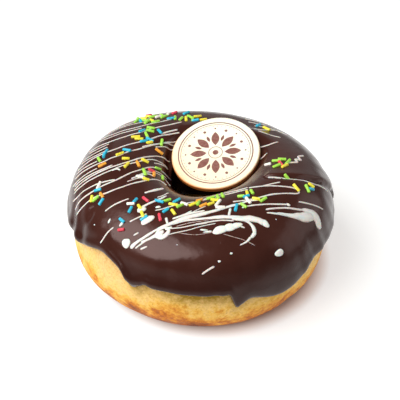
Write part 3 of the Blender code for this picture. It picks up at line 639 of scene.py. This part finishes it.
def smooth_path(knots):
    """A rounded path through the knots in plan, in even steps."""
    knots = np.array(knots, dtype=float) * MM
    padded = np.vstack([2.0 * knots[0] - knots[1], knots, 2.0 * knots[-1] - knots[-2]])
    path = []
    for i in range(1, len(padded) - 2):
        before, start, end, after = padded[i - 1:i + 3]
        count = max(2, int(np.hypot(*(end - start)) / STRAND_STEP))
        bend = 2.0 * before - 5.0 * start + 4.0 * end - after
        twist = 3.0 * start - before - 3.0 * end + after
        for t in np.linspace(0.0, 1.0, count, endpoint=False):
            path.append(0.5 * (2.0 * start + (end - before) * t + bend * t * t + twist * t ** 3))
    path.append(knots[-1])
    return np.array(path)


def add_strand(bm, thin, half_widths, knots, flatness, show, draw):
    """One strand on the coat: a grid rolled into a tube that swells and thins and is round at its ends."""
    half_widths = np.atleast_1d(half_widths) * MM
    landed = [drop(x, y) for x, y in smooth_path(knots)]
    landed = [(hit, normal) for hit, normal in landed if hit is not None]
    centre = np.array([hit[:] for hit, _ in landed])
    normal = np.array([up[:] for _, up in landed])
    for _ in range(STRAND_EVENED):
        centre[1:-1] = (centre[:-2] + 2.0 * centre[1:-1] + centre[2:]) / 4.0
        normal[1:-1] = (normal[:-2] + 2.0 * normal[1:-1] + normal[2:]) / 4.0
    along = np.gradient(centre, axis=0)
    side = np.cross(normal, along)
    side /= np.linalg.norm(side, axis=1)[:, None]
    run = np.concatenate([[0.0], np.cumsum(np.linalg.norm(np.diff(centre, axis=0), axis=1))])
    width = np.interp(run / run[-1], np.linspace(0.0, 1.0, len(half_widths)), half_widths)
    end = np.minimum(run, run[-1] - run) / (STRAND_END * width)
    width = width * np.sqrt(1.0 - (1.0 - np.clip(end, 0.0, 1.0)) ** 2)
    uneven = []
    for _ in range(2):
        phases = [draw.uniform(0.0, 2.0 * math.pi) for _ in STRAND_WAVES]
        uneven.append(1.0 + sum(size * np.sin(run / length + phase)
                                for (size, length), phase in zip(STRAND_WAVES, phases)))
    made = bmesh.ops.create_grid(bm, x_segments=len(centre) - 1, y_segments=STRAND_SIDES, size=0.5)["verts"]
    for vertex in made:
        i = round((vertex.co.x + 0.5) * (len(centre) - 1))
        angle = 2.0 * math.pi * round((vertex.co.y + 0.5) * STRAND_SIDES) / STRAND_SIDES
        lift = math.sin(angle) * (flatness if math.sin(angle) > 0.0 else STRAND_SINK)
        reach = math.cos(angle) * uneven[0 if math.cos(angle) > 0.0 else 1][i]
        vertex.co = centre[i] + width[i] * (reach * side[i] + lift * normal[i])
        vertex[thin] = show + (1.0 - show) * abs(math.cos(angle)) ** 3


def add_pool(bm, thin, x, y, length, width, heading, draw):
    """A blob that ran together: a ball pressed onto the coat, with an uneven outline."""
    sides, rings = POOL_FACES
    made = bmesh.ops.create_uvsphere(bm, u_segments=sides, v_segments=rings, radius=1.0)["verts"]
    phases = [draw.uniform(0.0, 2.0 * math.pi) for _ in POOL_WAVES]
    lie = surface_matrix(x * MM, y * MM, 0.0, math.radians(heading))
    tall = min(POOL_HEIGHT, 0.5 * width * MM)
    for vertex in made:
        px, py, pz = vertex.co
        around = math.atan2(py, px)
        spread = 1.0 + sum(size * math.sin(times * around + phase)
                           for (times, size), phase in zip(POOL_WAVES, phases))
        flat = lie @ Vector((px * length * MM * spread, py * width * MM * spread, 0.0))
        hit, normal, _, _ = coat_surface.find_nearest(flat)
        vertex.co = hit + normal * tall * (pz if pz > 0.0 else STRAND_SINK * pz)
        vertex[thin] = max(0.0, 1.0 - 1.8 * max(pz, 0.0)) ** 2


def drizzle_piece(name, flatness, show, lines, pools, draw):
    """Lay the lines and pools, then tint them where the dye of a sprinkle ran."""
    bm = bmesh.new()
    thin = bm.verts.layers.float.new("thin")
    for half_widths, knots in lines:
        add_strand(bm, thin, half_widths, knots, flatness, show, draw)
    for pool in pools:
        add_pool(bm, thin, *pool, draw)
    bmesh.ops.remove_doubles(bm, verts=bm.verts, dist=1.0e-6)
    bmesh.ops.recalc_face_normals(bm, faces=bm.faces)
    stain = bm.verts.layers.float_color.new("stain")
    dyes = np.array([linear(SPRINKLE_DYES[which][1]) for which in chosen])
    at = np.array([(x, y) for x, y, _, _ in places])
    for vertex in bm.verts:
        away = np.hypot(at[:, 0] - vertex.co.x, at[:, 1] - vertex.co.y)
        nearest = int(np.argmin(away))
        ran = math.exp(-(away[nearest] / DYE_BLEED) ** 2)
        vertex[stain] = (*dyes[nearest][:3], ran)
    finish_piece(name, bm, white_chocolate)


# White chocolate: off-white and satin where it is thick, pinkish and half see-through where it thins
# out over the dark coat, stained here and there by a sprinkle's dye.
white_chocolate, tree, cream, place = new_material("white_chocolate_drizzle")
thinness = add(tree, "Attribute", attribute_name="thin").outputs["Fac"]
stained = add(tree, "Attribute", attribute_name="stain")
streaky = add(tree, "TexNoise", {"Vector": place, "Scale": 1 / (1.1 * MM), "Detail": 3.0})
worn = add(tree, "MapRange", {0: streaky, 1: 0.32, 2: 0.66, 3: 0.3, 4: 1.1})
show = add(tree, "Math", {0: thinness, 1: worn}, operation="MULTIPLY")
show = add(tree, "Math", {0: show, 1: 0.5}, operation="MULTIPLY")
colour = add(tree, "ValToRGB", {0: show}, stops=((0, "#e6e6dd"), (0.5, "#cbb0a8"), (1, "#7d5546")))
tinted = add(tree, "Math", {0: stained.outputs["Alpha"], 1: 0.55}, operation="MULTIPLY")
colour = add(tree, "Mix", {0: tinted, 6: colour, 7: stained.outputs["Color"]}, data_type="RGBA")
fill(tree, cream, {"Base Color": colour, "Roughness": 0.42, "Subsurface Weight": 0.25,
                   "Subsurface Scale": 0.8 * MM})

draw = random.Random(DRIZZLE_SEED)
drizzle_piece("drizzle_thin", THIN_FLATNESS, THIN_SHOW, THIN_LINES, (), draw)
drizzle_piece("drizzle_hair", THIN_FLATNESS, HAIR_SHOW, HAIR_LINES, (), draw)
drizzle_piece("drizzle_thick", THICK_FLATNESS, 0.0, THICK_LINES, POOLS, draw)


# White chocolate disc
# A cast round of white chocolate with softened edges, pressed into the wet coat over the hole so that
# it leans to the front left. Its edge is painted darker at the front left, most low on its side, as shade
# warmed by light bounced off the chocolate.

DISC_ROUND = 0.6 * MM
DISC_SIDES = 144
DISC_OUTLINE = ((2, 0.10 * MM, 35), (3, 0.06 * MM, 80), (5, 0.04 * MM, 10))     # order, size, azimuth
SHADED_SIDE = 232.0             # azimuth at which the edge's painted shade is strongest
RIM_SHADE, RIM_SHADE_WIDTH = 0.5, 1.0 * MM     # how much painted shade the rim of the top face gets, and how wide


def disc_bmesh():
    """The disc where it lies, with the painted shade on its edge marked."""
    bm = bmesh.new()
    bmesh.ops.create_cone(bm, cap_ends=True, segments=DISC_SIDES, radius1=DISC_RADIUS, radius2=DISC_RADIUS,
                          depth=DISC_THICK)
    rims = [edge for edge in bm.edges if abs(edge.verts[0].co.z - edge.verts[1].co.z) < 1.0e-6]
    bmesh.ops.bevel(bm, geom=rims, offset=DISC_ROUND, segments=5, profile=0.5, affect="EDGES", material=-1)
    walls = [edge for edge in bm.edges if abs(edge.verts[0].co.z - edge.verts[1].co.z) > DISC_THICK / 3.0]
    bmesh.ops.subdivide_edges(bm, edges=walls, cuts=3)
    edge_shade = bm.verts.layers.float.new("edge_shade")
    for vertex in bm.verts:
        azimuth = math.atan2(vertex.co.y, vertex.co.x)
        vertex.co.xy *= 1.0 + float(swell(azimuth, DISC_OUTLINE)) / DISC_RADIUS
        down = float(smooth_step(DISC_THICK * 0.5, -DISC_THICK * 0.25, vertex.co.z))
        facing = 0.5 + 0.5 * math.cos(azimuth - math.radians(SHADED_SIDE))
        rim = float(smooth_step(DISC_RADIUS - RIM_SHADE_WIDTH, DISC_RADIUS, math.hypot(vertex.co.x, vertex.co.y)))
        vertex[edge_shade] = min(1.0, down + RIM_SHADE * rim) * facing ** 0.6
    bmesh.ops.translate(bm, vec=(0.0, 0.0, -DISC_THICK / 2.0), verts=bm.verts)
    bmesh.ops.transform(bm, matrix=disc_frame(), verts=bm.verts)
    return bm


# Cast white chocolate: ivory, smooth and faintly waxy, a little see-through at its edge, with painted
# shade on the front left of that edge.
cast_chocolate, tree, wax, place = new_material("cast_white_chocolate")
mottle = add(tree, "TexNoise", {"Vector": place, "Scale": 1 / (4 * MM), "Detail": 3.0})
mottled = add(tree, "MapRange", {0: mottle, 1: 0.3, 2: 0.7})
ivory = add(tree, "Mix", {0: mottled, 6: linear("#fefbe9"), 7: linear("#fbf5de")}, data_type="RGBA")
shade_amount = add(tree, "Attribute", attribute_name="edge_shade").outputs["Fac"]
# painted shade on the edge, cream through orange to brown as if warmed by bounced light
painted_edge_shade = add(tree, "ValToRGB", {0: shade_amount}, stops=(
    (0, "#fdf8e4"), (0.3, "#f6d2a4"), (0.6, "#e2924e"), (1, "#a0561f")))
edge = add(tree, "MapRange", {0: shade_amount, 1: 0.02, 2: 0.12})
colour = add(tree, "Mix", {0: edge, 6: ivory, 7: painted_edge_shade}, data_type="RGBA")
fine = add(tree, "TexNoise", {"Vector": place, "Scale": 1 / (0.6 * MM), "Detail": 3.0})
relief = add(tree, "Bump", {"Height": fine, "Strength": 0.2, "Distance": 0.06 * MM})
fill(tree, wax, {"Base Color": colour, "Normal": relief, "Roughness": 0.45,
                 "Subsurface Weight": 0.15, "Subsurface Scale": 0.8 * MM})

disc = finish_piece("white_chocolate_round", disc_bmesh(), cast_chocolate,
                    ("white_chocolate_disc",))
disc.data.set_sharp_from_angle(angle=math.radians(30.0))


# Cocoa butter print on the disc
# A plain ornament in brown cocoa butter, printed on the film that the disc was cast on: ring lines, a
# rosette of eight broad and eight narrow petals, and rows of dots. It is at most 0.05 mm proud.

PRINT_THICK = 0.05 * MM
RING_LINES = (                # (radius, half width)
    (14.0 * MM, 0.22 * MM), (13.1 * MM, 0.10 * MM), (2.6 * MM, 0.12 * MM))
RING_STEPS, PETAL_SIDES, DOT_SIDES = 128, 28, 16
PETALS = (                    # (how many, azimuth of the first, inner and outer end, half width)
    (8, 0.0, 3.4 * MM, 9.6 * MM, 1.5 * MM), (8, 22.5, 5.6 * MM, 8.4 * MM, 0.55 * MM))
DOT_ROWS = (                  # (how many, azimuth of the first, radius of the row, of a dot)
    (8, 22.5, 10.6 * MM, 0.55 * MM), (8, 0.0, 11.3 * MM, 0.32 * MM), (1, 0.0, 0.0, 1.1 * MM),
    (48, 3.75, 12.3 * MM, 0.14 * MM))


def print_shape(bm, sides, place, shape):
    """A flat round laid on the disc, its outline moved by shape(x, y)."""
    made = bmesh.ops.create_cone(bm, cap_ends=True, segments=sides, radius1=1.0, radius2=1.0,
                                 depth=PRINT_THICK)["verts"]
    for vertex in made:
        vertex.co.xy = shape(vertex.co.x, vertex.co.y)
    bmesh.ops.transform(bm, matrix=place, verts=made)


bm = bmesh.new()
for radius, half_width in RING_LINES:
    made = bmesh.ops.create_circle(bm, segments=4, radius=1.0)["verts"]
    for vertex in made:
        vertex.co = (radius + half_width * vertex.co.x, 0.0, PRINT_THICK * vertex.co.y)
    edges = list({edge for vertex in made for edge in vertex.link_edges})
    bmesh.ops.spin(bm, geom=made + edges, cent=(0.0, 0.0, 0.0), axis=(0.0, 0.0, 1.0), angle=2.0 * math.pi,
                   steps=RING_STEPS, use_merge=True)
for count, first, inner, outer, half_width in PETALS:
    for i in range(count):
        turned = Matrix.Rotation(math.radians(first + 360.0 * i / count), 4, "Z")
        middle = Matrix.Translation(((inner + outer) / 2.0, 0.0, 0.0))
        print_shape(bm, PETAL_SIDES, turned @ middle,
                    lambda x, y: (x * (outer - inner) / 2.0, half_width * y * abs(y)))
for count, first, radius, dot in DOT_ROWS:
    for i in range(count):
        turned = Matrix.Rotation(math.radians(first + 360.0 * i / count), 4, "Z")
        middle = Matrix.Translation((radius, 0.0, 0.0))
        print_shape(bm, DOT_SIDES, turned @ middle, lambda x, y: (x * dot, y * dot))
bmesh.ops.remove_doubles(bm, verts=bm.verts, dist=1.0e-7)
bmesh.ops.recalc_face_normals(bm, faces=bm.faces)
bmesh.ops.transform(bm, matrix=disc_frame(), verts=bm.verts)

# Cocoa butter dyed brown: a dull even film that lets a little of the ivory through.
brown_print, tree, ink, place = new_material("brown_cocoa_butter")
patchy = add(tree, "TexNoise", {"Vector": place, "Scale": 1 / (0.9 * MM), "Detail": 3.0})
patch = add(tree, "MapRange", {0: patchy, 1: 0.35, 2: 0.75})
colour = add(tree, "Mix", {0: patch, 6: linear("#7a463c"), 7: linear("#93665a")}, data_type="RGBA")
fill(tree, ink, {"Base Color": colour, "Roughness": 0.5})
ornament = finish_piece("disc_ornament", bm, brown_print)
ornament.data.set_sharp_from_angle(angle=math.radians(30.0))


# Floor
# A light table of opal acrylic that glows as if lit from below. Its glow has a painted shadow under the
# doughnut, dark and warm at the foot, and its far part is painted darker as shade. It is not part of
# the doughnut.

FLOOR_HALF = 2.0
SHADOW_CENTRE = (4.0 * MM, 3.0 * MM, 0.0)  # of the painted shadow under the doughnut
SHADOW_RADIUS, SHADOW_BLUR = 42.0 * MM, 5.0 * MM
LIT_CENTRE = (0.0, 50.0 * MM, 0.0)
LIT_FADE = (0.16, 0.26)       # distances between which the table's glow ends and its colour turns to painted shade

bm = bmesh.new()
bmesh.ops.create_grid(bm, x_segments=1, y_segments=1, size=FLOOR_HALF)
board, tree, matt, place = new_material("opal_acrylic")
faint = add(tree, "TexNoise", {"Vector": place, "Scale": 1 / (60 * MM), "Detail": 2.0})
opal = add(tree, "Mix", {0: faint, 6: linear("#bfbfbd"), 7: linear("#c3c3c1")}, data_type="RGBA")
apart = add(tree, "VectorMath", {0: place, 1: SHADOW_CENTRE}, operation="DISTANCE").outputs["Value"]
shadow_fade = add(tree, "MapRange", {0: apart, 1: SHADOW_RADIUS - SHADOW_BLUR, 2: SHADOW_RADIUS + SHADOW_BLUR})
apart = add(tree, "VectorMath", {0: place, 1: LIT_CENTRE}, operation="DISTANCE").outputs["Value"]
far = add(tree, "MapRange", {0: apart, 1: LIT_FADE[1], 2: LIT_FADE[0], 3: 0.1, 4: 1.0})
# beyond the fade the floor's colour is painted darker as shade, and its glow weakens
colour = add(tree, "Mix", {0: far, 6: linear("#8f8f8d"), 7: opal}, data_type="RGBA")
# painted shadow: dark and warm at the doughnut's foot, fading out to the full glow
glow_and_shadow = add(tree, "ValToRGB", {0: shadow_fade}, stops=(
    (0, "#000000"), (0.3, "#8a6552"), (0.6, "#d2beb4"), (0.85, "#f2ebe7"), (1, "#ffffff")))
lit = add(tree, "VectorMath", {0: glow_and_shadow, "Scale": far}, operation="SCALE")
fill(tree, matt, {"Base Color": colour, "Roughness": 0.6, "Emission Color": lit,
                  "Emission Strength": 0.6})
mesh = bpy.data.meshes.new("floor")
bm.to_mesh(mesh)
bm.free()
mesh.materials.append(board)
floor = bpy.data.objects.new("floor", mesh)
bpy.context.scene.collection.objects.link(floor)


# Light and camera
# A large softbox high up at the front left, white walls behind and at the right that throw back a
# little of it, and a weak fill all round. The camera looks down at 40 degrees.

LIGHTS = (                    # (name, place, width and height in metres, watts)
    ("softbox", (-0.785, -0.403, 1.042), (1.38, 1.19), 32.0),
    ("back_wall", (0.40, 1.40, 0.50), (2.0, 1.0), 2.4),
    ("side_wall", (1.40, 0.10, 0.50), (1.6, 1.0), 6.4))
LIT_POINT = Vector((0.0, 0.0, 20.0 * MM))
FILL = 0.15
for name, at, size, power in LIGHTS:
    lamp = bpy.data.lights.new(name, "AREA")
    lamp.shape, lamp.size, lamp.size_y, lamp.energy = "RECTANGLE", size[0], size[1], power
    holder = bpy.data.objects.new(name, lamp)
    holder.location = at
    holder.rotation_euler = (LIT_POINT - Vector(at)).to_track_quat("-Z", "Y").to_euler()
    bpy.context.scene.collection.objects.link(holder)
world = bpy.data.worlds.new("studio")
world.use_nodes = True
fill(world.node_tree, world.node_tree.nodes["Background"], {"Color": (1.0, 1.0, 1.0, 1.0), "Strength": FILL})
bpy.context.scene.world = world
bpy.context.scene.view_settings.view_transform = "Standard"

LOOK_AT = Vector((0.0, 0.0, 22.5 * MM))
ELEVATION = math.radians(40.0)
DISTANCE = 0.45               # from the camera to there, in metres
SENSOR, LENS = 36.0, 106.92   # mm
SHIFT = (-0.5 / 400, 13.5 / 400)
camera = bpy.data.objects.new("camera", bpy.data.cameras.new("camera"))
camera.location = LOOK_AT + DISTANCE * Vector((0.0, -math.cos(ELEVATION), math.sin(ELEVATION)))
camera.rotation_euler = (math.pi / 2.0 - ELEVATION, 0.0, 0.0)
camera.data.sensor_width, camera.data.lens = SENSOR, LENS
camera.data.shift_x, camera.data.shift_y = SHIFT
bpy.context.scene.collection.objects.link(camera)
bpy.context.scene.camera = camera
